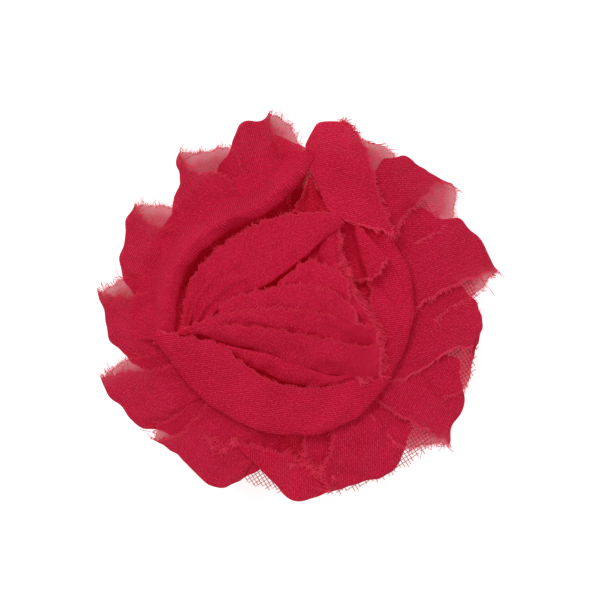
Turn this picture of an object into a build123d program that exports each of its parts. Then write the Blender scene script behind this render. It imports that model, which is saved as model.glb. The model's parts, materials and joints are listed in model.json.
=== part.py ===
"""Flower hair clip: a frayed chiffon rosette sewn on net, backed with felt and glued to a sprung steel clip.

Millimetres. +Z is the way the flower faces, +X runs along the clip towards its jaws. The origin is on the
surface that the clip rests on, under the middle of the flower. Layers are stacked upwards from there: jaw
arm, pin and spring, base arm with its ribbon, clip glue, felt pad, pad glue, net, petals, and the coiled
middle.
"""

import math
import os

from build123d import *

os.makedirs("parts", exist_ok=True)

# ---------------------------------------------------------------- driving dimensions
SHEET = 0.6  # clip steel
ARM_LENGTH = 45.0
HINGE_X = -7.5  # pin axis, along the clip
TAB_REACH = 14.5  # pin axis to the thumb end
TIP_REACH = ARM_LENGTH - TAB_REACH
PIN_RADIUS = 1.0
RUNNING_GAP = 0.05  # radial clearance of the jaw arm on the pin
HEAD_RADIUS = 1.5  # the pin's riveted heads
HEAD = 0.5
EAR_RADIUS = 1.9
EAR_GAP = 0.15  # between the two arms' ears
BASE_HALF = 3.7  # half the base arm's width at the hinge
JAW_HALF = BASE_HALF - SHEET - EAR_GAP  # half the jaw arm's width, between the base arm's ears
TIP_HALF = 2.9  # half the width of both arms at the jaws
TAB_RIBS = (-12.6, -11.0, -9.4)  # pressed ribs on the thumb tab, from the pin axis
TAB_RIB = {"length": 5.0, "width": 0.7, "depth": 0.25}
WIRE = 0.6  # spring wire
COIL_RADIUS = 1.6  # to the middle of the wire
COIL_TURNS = 4.5
COIL_PITCH = 0.68
RIBBON = 0.45  # grosgrain thickness
RIBBON_HALF = 4.0
FELT = 1.2
FELT_RADIUS = 19.0
NET = 0.3
NET_RADIUS = 27.0
NET_CENTRE = (2.0, -3.0)
CHIFFON_PLATE = 0.5  # thickness of a folded petal
PETAL_INNER = 11.0  # the petals are gathered from here inwards
PETAL_TILT = 9.0  # each petal rides up over its clockwise neighbour
PETAL_TUCK = 5.0  # degrees that each petal runs on under its neighbour
CORE_RADIUS = 10.5
STITCHES = 40
STITCH_RING = 22.0
STITCH = {"length": 2.4, "width": 0.35, "depth": 0.18}

# ---------------------------------------------------------------- stacked levels
JAW_HINGE_Z = 3.6  # outside of the jaw arm, under the pin
PIN_Z = JAW_HINGE_Z + SHEET + 2.7
BASE_Z = PIN_Z + 3.0  # inside face of the base arm
BASE_TOP = BASE_Z + SHEET
FELT_Z = BASE_TOP + 0.5  # the clip glue fills the half millimetre
NET_Z = FELT_Z + FELT + 0.2  # and the pad glue this fifth
PETAL_Z = NET_Z + NET
PETAL_MID_Z = PETAL_Z + 1.65
COIL_Z = PETAL_Z + 3.4  # the coiled middle sits on the petals and the core


def save(part, name):
    part.label = name
    export_step(part, f"parts/{name}.step")


def polar(radius, angle):
    return (radius * math.cos(math.radians(angle)), radius * math.sin(math.radians(angle)))


def from_pin(along, height):
    """A side-view point, its first coordinate measured from the pin along the clip."""
    return (HINGE_X + along, height)


def arm_plan(hinge_half, tip_half, tail_half):
    """Outline of an arm from above: thumb tab, straight middle and a tapered, rounded tip."""
    with BuildSketch(Plane.XY) as plan:
        with BuildLine():
            Polyline(
                from_pin(-TAB_REACH, -tail_half),
                from_pin(-3.4, -tail_half),
                from_pin(-3.1, -hinge_half),
                from_pin(4.0, -hinge_half),
                from_pin(TIP_REACH, -tip_half),
                from_pin(TIP_REACH, tip_half),
                from_pin(4.0, hinge_half),
                from_pin(-3.1, hinge_half),
                from_pin(-3.4, tail_half),
                from_pin(-TAB_REACH, tail_half),
                close=True,
            )
        make_face()
        ends = plan.vertices().group_by(Axis.X)
        fillet([*ends[0], *ends[-1]], radius=1.2)
    return plan.sketch


# ---------------------------------------------------------------- base arm, glued under the felt
with BuildPart() as base_blank:
    add(arm_plan(BASE_HALF, TIP_HALF, BASE_HALF))
    extrude(amount=SHEET)
base_plate = base_blank.part.moved(Location((0, 0, BASE_Z)))

with BuildPart() as base_arm:
    add(base_plate)
    for side in (-1, 1):
        with BuildSketch(Plane.XZ.offset(-side * (BASE_HALF - SHEET / 2))):
            with Locations(from_pin(0, PIN_Z)):
                Circle(EAR_RADIUS)
            with Locations(from_pin(0, (PIN_Z + BASE_Z) / 2)):
                Rectangle(2 * EAR_RADIUS, BASE_Z - PIN_Z)
            with Locations(from_pin(0, PIN_Z)):
                Circle(PIN_RADIUS, mode=Mode.SUBTRACT)
        extrude(amount=SHEET / 2, both=True)
    for along in TAB_RIBS:
        with BuildSketch(Plane.XY.offset(BASE_Z)):
            with Locations(from_pin(along, 0)):
                SlotOverall(TAB_RIB["length"], TAB_RIB["width"], rotation=90)
        extrude(amount=-TAB_RIB["depth"])
save(base_arm.part, "clip_base_arm")

# ---------------------------------------------------------------- jaw arm, which opens downwards
TAB_BEND = -2.4
JAW_OUTSIDE = [
    (-TAB_REACH, 0.0),
    (TAB_BEND, JAW_HINGE_Z),
    (3.0, JAW_HINGE_Z),
    (14.0, 4.3),
    (23.0, 7.7),
    (TIP_REACH, 7.7),
]
JAW_BEND = 2.5
JAW_TIP_TOP = JAW_OUTSIDE[-1][1] + SHEET
TOOTH_TOP = BASE_Z - RIBBON - 0.1  # the teeth just clear the ribbon with the clip shut
TEETH = 4
TOOTH_PITCH = 1.7

with BuildPart() as jaw_profile:
    with BuildSketch(Plane.XZ):
        with BuildLine() as side_line:
            FilletPolyline(*[from_pin(*point) for point in JAW_OUTSIDE], radius=JAW_BEND)
            offset(amount=SHEET, side=Side.LEFT)
        make_face()
    extrude(amount=BASE_HALF, both=True)
with BuildPart() as jaw_blank:
    add(arm_plan(JAW_HALF, TIP_HALF, BASE_HALF))
    extrude(amount=BASE_Z)
jaw_sheet = jaw_profile.part & jaw_blank.part

with BuildPart() as jaw_arm:
    add(jaw_sheet)
    for side in (-1, 1):
        with BuildSketch(Plane.XZ.offset(-side * (JAW_HALF - SHEET / 2))):
            with Locations(from_pin(0, PIN_Z)):
                Circle(EAR_RADIUS)
            with Locations(from_pin(0, (PIN_Z + JAW_HINGE_Z + SHEET / 2) / 2)):
                Rectangle(2 * EAR_RADIUS, PIN_Z - JAW_HINGE_Z - SHEET / 2)
            with Locations(from_pin(0, PIN_Z)):
                Circle(PIN_RADIUS + RUNNING_GAP, mode=Mode.SUBTRACT)
        extrude(amount=SHEET / 2, both=True)
    # a turned-up, saw-toothed rim along each side of the jaws
    for side in (-1, 1):
        with BuildSketch(Plane.XZ.offset(-side * (TIP_HALF - SHEET / 2))):
            for tooth in range(TEETH):
                left = TIP_REACH - 1.0 - (tooth + 1) * TOOTH_PITCH
                with BuildLine():
                    Polyline(
                        from_pin(left, JAW_TIP_TOP - SHEET / 2),
                        from_pin(left + TOOTH_PITCH, JAW_TIP_TOP - SHEET / 2),
                        from_pin(left + TOOTH_PITCH / 2, TOOTH_TOP),
                        close=True,
                    )
                make_face()
        extrude(amount=SHEET / 2, both=True)
save(jaw_arm.part, "clip_jaw_arm")

# ---------------------------------------------------------------- hinge pin with riveted heads
with BuildPart() as hinge_pin:
    with BuildSketch(Plane.XZ):
        with Locations(from_pin(0, PIN_Z)):
            Circle(PIN_RADIUS)
    extrude(amount=BASE_HALF, both=True)
    for side in (-1, 1):
        with BuildSketch(Plane.XZ.offset(-side * (BASE_HALF + HEAD / 2))):
            with Locations(from_pin(0, PIN_Z)):
                Circle(HEAD_RADIUS)
        extrude(amount=HEAD / 2, both=True)
    heads = [hinge_pin.edges().group_by(Axis.Y)[0], hinge_pin.edges().group_by(Axis.Y)[-1]]
    fillet([edge for group in heads for edge in group], radius=0.3)
save(hinge_pin.part, "hinge_pin")

# ---------------------------------------------------------------- torsion spring round the pin
COIL_LENGTH = COIL_TURNS * COIL_PITCH
LEG_REACH = 9.0
TAB_SLOPE = JAW_HINGE_Z / (TAB_REACH + TAB_BEND)
LEG_CLEARANCE = 0.08  # between each leg and the arm that it pushes
base_leg_z = BASE_Z - WIRE / 2 - LEG_CLEARANCE
jaw_leg_z = TAB_SLOPE * (TAB_REACH - LEG_REACH) + SHEET + WIRE / 2 + LEG_CLEARANCE
with BuildPart() as torsion_spring:
    with BuildLine() as coil:
        coil_centre = (HINGE_X, -COIL_LENGTH / 2, PIN_Z)
        Helix(COIL_PITCH, COIL_LENGTH, COIL_RADIUS, center=coil_centre, direction=(0, 1, 0))
    with BuildSketch(Plane(origin=coil.line @ 0, z_dir=coil.line % 0)):
        Circle(WIRE / 2)
    sweep(path=coil.line, is_frenet=True)
    for coil_tip, height in ((coil.line @ 0, base_leg_z), (coil.line @ 1, jaw_leg_z)):
        foot = Vector(HINGE_X - LEG_REACH, coil_tip.Y, height)
        leg = foot - coil_tip
        root = coil_tip - leg.normalized() * WIRE / 2  # each leg starts inside the coil's wire
        with BuildSketch(Plane(origin=root, z_dir=leg)):
            Circle(WIRE / 2)
        extrude(amount=leg.length + WIRE / 2)
save(torsion_spring.part, "torsion_spring")

# ---------------------------------------------------------------- ribbon lining, folded over the tip
RIBBON_INNER_START = 3.6  # just ahead of the hinge ears
RIBBON_OUTER_START = 17.0
with BuildPart() as ribbon_lining:
    with BuildSketch(Plane.XZ):
        with BuildLine():
            Polyline(
                from_pin(RIBBON_INNER_START, BASE_Z),
                from_pin(RIBBON_INNER_START, BASE_Z - RIBBON),
                from_pin(TIP_REACH + RIBBON, BASE_Z - RIBBON),
                from_pin(TIP_REACH + RIBBON, BASE_TOP + RIBBON),
                from_pin(RIBBON_OUTER_START, BASE_TOP + RIBBON),
                from_pin(RIBBON_OUTER_START, BASE_TOP),
                from_pin(TIP_REACH, BASE_TOP),
                from_pin(TIP_REACH, BASE_Z),
                close=True,
            )
        make_face()
    extrude(amount=RIBBON_HALF, both=True)
    fillet(ribbon_lining.edges().filter_by(Axis.Y).group_by(Axis.X)[-1], radius=RIBBON)
save(ribbon_lining.part, "ribbon_lining")

# ---------------------------------------------------------------- glue between the clip and the felt
GLUE_REAR = -9.0
with BuildPart() as clip_glue:
    with BuildSketch(Plane.XY.offset(BASE_TOP)):
        with Locations(from_pin((GLUE_REAR + RIBBON_OUTER_START) / 2, 0)):
            RectangleRounded(RIBBON_OUTER_START - GLUE_REAR, 2 * BASE_HALF + 1.6, 2.0)
    extrude(amount=FELT_Z - BASE_TOP)
save(clip_glue.part, "clip_glue")

# ---------------------------------------------------------------- felt pad, pad glue and net backing
with BuildPart() as felt_pad:
    with BuildSketch(Plane.XY.offset(FELT_Z)):
        Circle(FELT_RADIUS)
    extrude(amount=FELT)
    fillet(felt_pad.edges().filter_by(GeomType.CIRCLE), radius=0.3)
save(felt_pad.part, "felt_pad")

with BuildPart() as pad_glue:
    with BuildSketch(Plane.XY.offset(FELT_Z + FELT)):
        Circle(FELT_RADIUS - 3.0)
    extrude(amount=NET_Z - FELT_Z - FELT)
save(pad_glue.part, "pad_glue")

with BuildPart() as net_backing:
    with BuildSketch(Plane.XY.offset(NET_Z)):
        with Locations(NET_CENTRE):
            Circle(NET_RADIUS)
    extrude(amount=NET)
save(net_backing.part, "net_backing")

with BuildPart() as backing_stitches:
    with BuildSketch(Plane.XY.offset(NET_Z)):
        with PolarLocations(STITCH_RING, STITCHES):
            SlotOverall(STITCH["length"], STITCH["width"], rotation=90)
    extrude(amount=-STITCH["depth"])
save(backing_stitches.part, "backing_stitches")

# ---------------------------------------------------------------- outer petals, folds of the chiffon strip
# Clockwise from the top left: (angle, radius) where the fold leaves the petal before, of its crown and
# of its tip.
PETALS = [
    [(113.4, 27.5), (107.0, 30.0), (98.5, 31.4)],
    [(87.5, 26.0), (84.0, 29.5), (75.6, 31.6)],
    [(60.0, 26.5), (50.0, 30.0), (38.5, 31.4)],
    [(30.4, 28.0), (22.0, 30.6), (10.1, 32.3)],
    [(2.9, 28.0), (-5.0, 29.8), (-19.0, 29.4)],
    [(-26.3, 29.4), (-35.0, 31.2), (-42.3, 32.5)],
    [(-52.5, 28.6), (-63.0, 30.4), (-79.0, 30.0)],
    [(-84.0, 30.4), (-91.0, 31.3), (-108.0, 27.5)],
    [(-109.0, 29.5), (-118.0, 31.2), (-136.6, 31.2)],
    [(-140.0, 30.4), (-148.5, 32.2), (-160.0, 33.3)],
    [(-164.4, 29.4), (-177.0, 31.0), (-184.0, 31.7)],
    [(-189.0, 28.4), (-204.0, 30.0), (-212.0, 30.7)],
    [(-218.2, 25.6), (-225.0, 27.6), (-232.4, 30.8)],
]


def petal_solid(fold, next_fold):
    """One folded petal as a flat plate, tilted about its own radius so that it lies over the next one."""
    start, crown, tip = fold
    start = (start[0] + PETAL_TUCK, start[1])
    # the raw edge runs on to where the next petal starts, further round the same way
    raw_edge = (next_fold[0][0] - (360 if next_fold[0][0] > start[0] else 0), next_fold[0][1])
    middle = (start[0] + raw_edge[0]) / 2
    outline = [(start[0], PETAL_INNER), start, crown, tip, raw_edge, (raw_edge[0], PETAL_INNER)]
    corners = [polar(radius, angle - middle) for angle, radius in outline]
    lean = math.radians(PETAL_TILT)
    east, north = polar(1.0, middle)
    up = (-north * math.sin(lean), east * math.sin(lean), math.cos(lean))
    plane = Plane(origin=(0, 0, PETAL_MID_Z), x_dir=(east, north, 0), z_dir=up)
    with BuildPart() as petal:
        with BuildSketch(plane):
            with BuildLine():
                Polyline(*corners, close=True)
            make_face()
        extrude(amount=CHIFFON_PLATE / 2, both=True)
    return petal.part


for number, fold in enumerate(PETALS, start=1):
    save(petal_solid(fold, PETALS[number % len(PETALS)]), f"outer_petal_{number:02d}")

with BuildPart() as gathered_core:
    with BuildSketch(Plane.XY.offset(PETAL_Z)):
        Circle(CORE_RADIUS)
    extrude(amount=COIL_Z - PETAL_Z)
    fillet(gathered_core.edges().group_by(Axis.Z)[0], radius=0.5)
save(gathered_core.part, "gathered_core")

# ---------------------------------------------------------------- coiled middle of the strip
BAND_OUTSIDE = {"centre": (-2.2, 1.0), "radii": (20.6, 21.6)}
BAND_INSIDE = {"centre": (0.0, -1.0), "radii": (16.4, 16.2)}
BAND_HIGH = 6.4  # height of the band's rolled side, on the left
BAND_LOW = 2.6  # and of its flat side, on the right
with BuildPart() as coil_band:
    with BuildSketch(Plane.XY.offset(COIL_Z)):
        with Locations(BAND_OUTSIDE["centre"]):
            Ellipse(*BAND_OUTSIDE["radii"])
        with Locations(BAND_INSIDE["centre"]):
            Ellipse(*BAND_INSIDE["radii"], mode=Mode.SUBTRACT)
    extrude(amount=BAND_HIGH)
    fall = (BAND_HIGH - BAND_LOW) / (2 * BAND_OUTSIDE["radii"][0])
    middle_top = (BAND_OUTSIDE["centre"][0], 0, COIL_Z + (BAND_HIGH + BAND_LOW) / 2)
    split(bisect_by=Plane(origin=middle_top, z_dir=(fall, 0, 1)), keep=Keep.BOTTOM)
save(coil_band.part, "coil_band")

# Each inner fold is a leaf between two arcs: name, its two ends, the middles of its sides, and its height.
INNER_FOLDS = [
    ("inner_fold_1", (-12.3, -6.6), (10.5, -11.7), (-0.5, -12.7), (-0.5, -10.5), 3.0),
    ("inner_fold_2", (-14.2, -4.2), (13.2, -7.8), (0.5, -10.0), (0.0, -4.6), 5.2),
    ("inner_fold_3", (-15.2, -2.9), (12.8, -5.9), (0.0, -4.1), (0.0, -1.1), 6.2),
    ("inner_fold_4", (-12.2, -0.5), (8.6, -2.2), (-1.5, -0.6), (-0.6, 3.0), 6.8),
    ("inner_fold_5", (-3.6, 3.4), (7.6, 2.4), (2.4, 3.3), (2.6, 7.0), 6.6),
    ("inner_fold_6", (-15.4, 0.8), (5.4, 13.4), (-3.2, 5.8), (-8.2, 11.0), 4.8),
    ("frayed_stack", (13.4, -4.6), (6.8, 11.6), (9.2, 3.0), (11.6, 4.4), 6.6),
]


def leaf_solid(first, second, near, far, height):
    with BuildPart() as leaf:
        with BuildSketch(Plane.XY.offset(COIL_Z)):
            with BuildLine():
                ThreePointArc(first, near, second)
                ThreePointArc(second, far, first)
            make_face()
        extrude(amount=height)
    return leaf.part


for name, first, second, near, far, height in INNER_FOLDS:
    save(leaf_solid(first, second, near, far, height), name)

TAB_LIFT = 3.7  # the tab lies over the band
with BuildPart() as corner_tab:
    with BuildSketch(Plane.XY.offset(COIL_Z + TAB_LIFT)):
        with BuildLine():
            Polyline((9.4, 12.8), (13.8, 7.6), (12.5, 5.0), (9.2, 11.2), close=True)
        make_face()
    extrude(amount=CHIFFON_PLATE)
save(corner_tab.part, "corner_tab")
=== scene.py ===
"""Looks of the flower hair clip: frayed chiffon folds on net and felt, over a sprung steel clip.

Shapes are written in millimetres in the row frame and turned into metres when a mesh is made. Heights are
counted from two CAD levels: the top of the net, where the petals lie, and the top of the gathered core,
where the coiled middle of the flower begins.
"""

import json
import math

import bpy
import numpy as np
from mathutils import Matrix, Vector


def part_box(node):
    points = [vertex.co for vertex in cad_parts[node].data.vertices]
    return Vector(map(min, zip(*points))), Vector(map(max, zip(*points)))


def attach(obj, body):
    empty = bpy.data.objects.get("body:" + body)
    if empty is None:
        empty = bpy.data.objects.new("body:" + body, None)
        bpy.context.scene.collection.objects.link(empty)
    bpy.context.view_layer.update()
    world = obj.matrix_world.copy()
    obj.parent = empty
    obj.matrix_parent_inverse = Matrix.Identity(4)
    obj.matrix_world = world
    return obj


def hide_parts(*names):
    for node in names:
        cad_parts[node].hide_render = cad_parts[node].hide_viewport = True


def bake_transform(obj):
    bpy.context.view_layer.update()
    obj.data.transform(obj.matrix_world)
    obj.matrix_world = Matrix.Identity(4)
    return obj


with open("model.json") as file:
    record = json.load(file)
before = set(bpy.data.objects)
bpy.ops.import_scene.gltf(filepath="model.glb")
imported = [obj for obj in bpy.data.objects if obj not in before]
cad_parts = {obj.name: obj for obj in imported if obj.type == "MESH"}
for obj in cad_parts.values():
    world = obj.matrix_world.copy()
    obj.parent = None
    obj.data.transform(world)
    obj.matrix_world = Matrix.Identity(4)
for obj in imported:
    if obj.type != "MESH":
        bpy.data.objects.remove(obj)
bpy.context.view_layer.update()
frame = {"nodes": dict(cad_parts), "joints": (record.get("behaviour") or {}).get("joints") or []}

MM = 0.001
FLOWER, JAW = "flower_and_base", "jaw"


def box_mm(node):
    low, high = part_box(node)
    return np.array(low) / MM, np.array(high) / MM


NET_TOP = box_mm("net_backing")[1][2]
COIL_Z = box_mm("gathered_core")[1][2]


# ---------------------------------------- curves and grids
def even(count):
    """Evenly spread shares from 0 to 1."""
    return np.linspace(0, 1, count)


def through(points, at):
    """Where a smooth curve through the points is, at shares of its length. The points may be whole rows."""
    p = np.array(points, float)
    gaps = np.linalg.norm(np.diff(p, axis=0), axis=-1).reshape(len(p) - 1, -1).mean(1) + 1e-6
    knots = np.concatenate([[0.0], np.cumsum(gaps)]) / gaps.sum()
    wide = (-1,) + (1,) * (p.ndim - 1)
    span = np.diff(knots).reshape(wide)
    slope = np.diff(p, axis=0) / span
    middle = (slope[:-1] * span[1:] + slope[1:] * span[:-1]) / (span[1:] + span[:-1])
    slopes = np.concatenate([slope[:1], middle, slope[-1:]])
    at = np.clip(np.asarray(at, float), 0, 1)
    i = np.clip(np.searchsorted(knots, at, side="right") - 1, 0, len(p) - 2)
    h = (knots[i + 1] - knots[i]).reshape(wide)
    x = ((at - knots[i]) / (knots[i + 1] - knots[i])).reshape(wide)
    return (
        p[i] * (1 + 2 * x) * (1 - x) ** 2
        + p[i + 1] * x * x * (3 - 2 * x)
        + slopes[i] * h * x * (1 - x) ** 2
        + slopes[i + 1] * h * x * x * (x - 1)
    )


def patch(near, far, left, right):
    """A grid that fills four border curves. Rows run from near to far, columns from left to right."""
    s = even(len(near))[None, :, None]
    t = even(len(left))[:, None, None]
    ruled = near[None] * (1 - t) + far[None] * t + left[:, None] * (1 - s) + right[:, None] * s
    corners = (near[0] * (1 - s) + near[-1] * s) * (1 - t) + (far[0] * (1 - s) + far[-1] * s) * t
    return ruled - corners


def unit(vectors):
    """The vectors' directions. A vector with no length stays as it is."""
    return vectors / (np.linalg.norm(vectors, axis=-1, keepdims=True) + 1e-9)


def normals(grid):
    return unit(np.cross(np.gradient(grid, axis=1), np.gradient(grid, axis=0)))


def arc_lengths(grid, axis):
    """Distance along the rows or columns of a grid from its first line of points."""
    gaps = np.linalg.norm(np.diff(grid, axis=axis), axis=-1)
    shape = list(gaps.shape)
    shape[axis] = 1
    return np.concatenate([np.zeros(shape), np.cumsum(gaps, axis=axis)], axis=axis)


CRUMPLE_WAVES = 14


def crumple(grid, rng, height, length):
    """Pushes a grid in and out by random waves, as thin cloth does."""
    u, v = arc_lengths(grid, 1), arc_lengths(grid, 0)
    push = np.zeros(u.shape)
    for _ in range(CRUMPLE_WAVES):
        turn, size, phase = rng.uniform(0, math.pi), length * rng.uniform(0.5, 2.0), rng.uniform(0, 7)
        push += np.sin((u * math.cos(turn) + v * math.sin(turn)) * math.tau / size + phase) * size / length
    return grid + normals(grid) * (height * push / math.sqrt(CRUMPLE_WAVES))[..., None]


INSIDE = 2  # grid lines from a raw side to the line that shows which way its threads point
RAGGED = 0.13  # how far a raw side moves in and out


def lines_beside(grid, side):
    """The grid's lines that run along a side. They are the grid's own numbers, not a copy."""
    return grid if side in ("near", "far") else np.swapaxes(grid, 0, 1)


def side_lines(grid, side):
    """A side of a grid and the line of points a little way inside it."""
    lines = lines_beside(grid, side)
    if side in ("near", "left"):
        return lines[0], lines[INSIDE]
    return lines[-1], lines[-1 - INSIDE]


def ragged(grid, side, rng):
    """Moves a raw side in and out a little, as cut chiffon frays unevenly."""
    edge, inside = side_lines(grid, side)
    gone = arc_lengths(edge[None], 1)[0]
    push = rng.normal(0, 0.35, len(gone))
    for _ in range(8):
        push += np.sin(gone * math.tau / rng.uniform(0.8, 4.0) + rng.uniform(0, 7)) * 0.45
    shift = unit(edge - inside) * (RAGGED * push)[:, None]
    grid = grid.copy()
    lines = lines_beside(grid, side)
    last, before = (0, 1) if side in ("near", "left") else (-1, -2)
    lines[last] += shift
    lines[before] += shift * 0.5
    return grid


def distance_from(grid, side):
    """How far each point of a grid is from one of its sides."""
    axis = 0 if side in ("near", "far") else 1
    along = arc_lengths(grid, axis)
    return along if side in ("near", "left") else np.max(along, axis=axis, keepdims=True) - along


# ---------------------------------------- meshes
def new_mesh(name, points_mm, faces, material, body=FLOWER, uv=None, smooth=True):
    mesh = bpy.data.meshes.new(name)
    mesh.from_pydata((np.asarray(points_mm) * MM).tolist(), [], faces)
    mesh.polygons.foreach_set("use_smooth", [smooth] * len(mesh.polygons))
    if uv is not None:
        layer = mesh.uv_layers.new(name="weave")
        corner = np.zeros(len(mesh.loops), np.int32)
        mesh.loops.foreach_get("vertex_index", corner)
        layer.data.foreach_set("uv", (np.asarray(uv)[corner]).astype(np.float32).ravel())
    mesh.materials.append(material)
    mesh.update()
    piece = bpy.data.objects.new(name, mesh)
    bpy.context.scene.collection.objects.link(piece)
    if body:
        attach(piece, body)
    return piece


def grid_faces(rows, columns, closed=False):
    faces = []
    for i in range(rows - 1):
        for j in range(columns if closed else columns - 1):
            k = (j + 1) % columns
            faces.append((i * columns + j, i * columns + k, (i + 1) * columns + k, (i + 1) * columns + j))
    return faces


NOT_ALONG = (0.3, 0.2, 0.93)  # a direction that no thread runs in


def tubes(lines, radius, sides=3):
    """Thin tubes along many short lines of points: their points and faces."""
    points, faces = [], []
    for line in lines:
        line = np.asarray(line)
        ahead = unit(np.gradient(line, axis=0))
        side = unit(np.cross(ahead, NOT_ALONG))
        up = np.cross(side, ahead)
        first = len(points)
        for k in range(sides):
            turn = math.tau * k / sides
            points.extend(line + radius * (side * math.cos(turn) + up * math.sin(turn)))
        n = len(line)
        for k in range(sides):
            a, b = first + k * n, first + (k + 1) % sides * n
            faces.extend((a + i, b + i, b + i + 1, a + i + 1) for i in range(n - 1))
    return points, faces


YARN = 0.045  # radius of a drawn thread
THREAD_PITCH = 0.15  # from one thread to the next along a raw edge
LONG_SHARE, LONG_GAIN = 0.03, 2.4  # how many threads are long ones, and how much longer
TUFT_SIZES = (0.9, 1.7, 3.1)  # distances between tufts along a raw edge
TIP_SPREAD, TIP_GAIN = 0.09, 0.7  # how far along an edge a tip's threads go, and how much longer
TRAIL_EVERY = 14  # length of edge, over the reach of its threads, for each thread that trails along it
UP = np.array((0, 0, 1))


def frayed(edge, inside, rng, reach, tip):
    """Loose threads that stand out of a raw edge: mostly short ends, a few long ones, and some that trail."""
    length = arc_lengths(edge[None], 1)[0, -1]
    count = max(3, int(length / THREAD_PITCH))
    shares = np.clip((np.arange(count) + rng.uniform(-0.4, 0.4, count)) / count, 0, 1)
    root, deep = through(edge, shares), through(inside, shares)
    out = unit(root - deep)
    along = unit(through(edge, np.clip(shares + 0.02, 0, 1)) - through(edge, np.clip(shares - 0.02, 0, 1)))
    lines = []
    gain = 1 + (0 if tip is None else TIP_GAIN * np.exp(-(((shares - tip) / TIP_SPREAD) ** 2)))
    waves = [np.sin(shares * length * math.tau / size + rng.uniform(0, 7)) for size in TUFT_SIZES]
    gain = gain * (0.6 + 0.5 * np.clip(sum(waves), 0, 1.6))
    for r, o, a, more in zip(root, out, along, gain):
        tall = reach * more * rng.uniform(0.1, 1.0) ** 1.2 * (LONG_GAIN if rng.random() < LONG_SHARE else 1.0)
        lean = a * rng.normal(0, 0.35) + UP * rng.normal(0.1, 0.3)
        bend = a * rng.normal(0, 0.35) + UP * rng.normal(-0.05, 0.3)
        steps = [r + (o + lean * x + bend * x * x) * tall * x for x in (0.0, 0.35, 0.7, 1.0)]
        lines.append([r - o * 0.35, *steps])
    # threads that have come out sideways and lie along the edge
    for _ in range(int(length * reach / TRAIL_EVERY)):
        begin = rng.uniform(0, 0.85)
        stretch = np.clip(np.linspace(begin, begin + rng.uniform(1.0, 2.5) / length, 5), 0, 1)
        trail = through(edge, stretch) + (through(edge, stretch) - through(inside, stretch)) * 0.3
        lines.append(trail + rng.normal(0, 0.1, (5, 3)))
    return lines


FAR_FROM_RAW = 9.0  # written on cloth that has no raw side


def cloth(
    name, grid, material, rng, raw=(), nodes=(), held="folded",
    reach=0.8, grain=None, wrinkle=(0.05, 3.5), tip=None,
):
    """A sheet from a grid of points, crumpled, and frayed at its raw sides.

    reach is how far its threads stand out, grain the direction of its weave in degrees, wrinkle the height
    and length of its crumples, and tip the share of its raw side where a petal's tip is.
    """
    grid = crumple(grid, rng, *wrinkle)
    for side in raw:
        grid = ragged(grid, side, rng)
    rows, columns = grid.shape[:2]
    if grain is None:
        uv = np.stack([arc_lengths(grid, 1), arc_lengths(grid, 0)], -1)
    else:
        c, s = math.cos(math.radians(grain)), math.sin(math.radians(grain))
        uv = np.stack([grid[..., 0] * c + grid[..., 1] * s, grid[..., 1] * c - grid[..., 0] * s], -1)
    piece = new_mesh(name, grid.reshape(-1, 3), grid_faces(rows, columns), material, uv=uv.reshape(-1, 2))
    distances = [distance_from(grid, side) for side in raw]
    away = np.min(distances or [np.full((rows, columns), FAR_FROM_RAW)], axis=0)
    raw_mm = piece.data.attributes.new("raw_mm", "FLOAT", "POINT")
    raw_mm.data.foreach_set("value", away.astype(np.float32).ravel())
    fringe = []
    for side in raw:
        fringe += frayed(*side_lines(grid, side), rng, reach, tip)
    if fringe:
        points, faces = tubes(fringe, YARN)
        threads = new_mesh(f"{name}_threads", points, faces, YARN_MATERIAL, smooth=False)
    if nodes:
        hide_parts(*nodes)
    return piece


# ---------------------------------------- materials
class Nodes:
    """Short names for making and joining shader nodes."""

    def __init__(self, name):
        self.material = bpy.data.materials.new(name)
        self.material.use_nodes = True
        self.tree = self.material.node_tree
        self.tree.nodes.clear()

    def add(self, kind, inputs=(), **settings):
        node = self.tree.nodes.new(f"ShaderNode{kind}")
        for key, value in settings.items():
            setattr(node, key, value)
        for key, value in dict(inputs).items():
            if isinstance(value, bpy.types.NodeSocket):
                self.tree.links.new(value, node.inputs[key])
            else:
                node.inputs[key].default_value = value
        return node

    def math(self, operation, *values, clamp=False):
        return self.add("Math", enumerate(values), operation=operation, use_clamp=clamp).outputs[0]

    def blend(self, share, first, second):
        return self.add("Mix", {0: share, 6: first, 7: second}, data_type="RGBA").outputs[2]

    def noise(self, vector, scale, detail, roughness=0.5):
        values = {"Vector": vector, "Scale": scale, "Detail": detail, "Roughness": roughness}
        return self.add("TexNoise", values).outputs[0]

    def ramp(self, value, start, end, first=0.0, last=1.0):
        """Goes from first to last while the value goes from start to end."""
        values = {"Value": value, "From Min": start, "From Max": end, "To Min": first, "To Max": last}
        return self.add("MapRange", values).outputs[0]

    def bump(self, height, strength, distance, **normal):
        values = {"Height": height, "Strength": strength, "Distance": distance, **normal}
        return self.add("Bump", values).outputs[0]

    def times(self, first, second):
        return self.math("MULTIPLY", first, second)

    def plus(self, first, second, **settings):
        return self.math("ADD", first, second, **settings)

    def principled(self, colour, roughness, **more):
        """The usual surface. Its other settings go by their names, with _ for a space."""
        values = {"Base Color": colour, "Roughness": roughness}
        values |= {key.replace("_", " "): value for key, value in more.items()}
        return self.add("BsdfPrincipled", values).outputs[0]

    def object_place(self):
        return self.add("TexCoord").outputs["Object"]

    def output(self, shader):
        self.add("OutputMaterial", {"Surface": shader})
        return self.material


def yarn_lines(n, coordinate, pitch):
    """Rounded ridges across a coordinate, 0 between two yarns and 1 on top of each."""
    return n.math("ABSOLUTE", n.math("SINE", n.times(coordinate, math.pi / pitch)))


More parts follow.
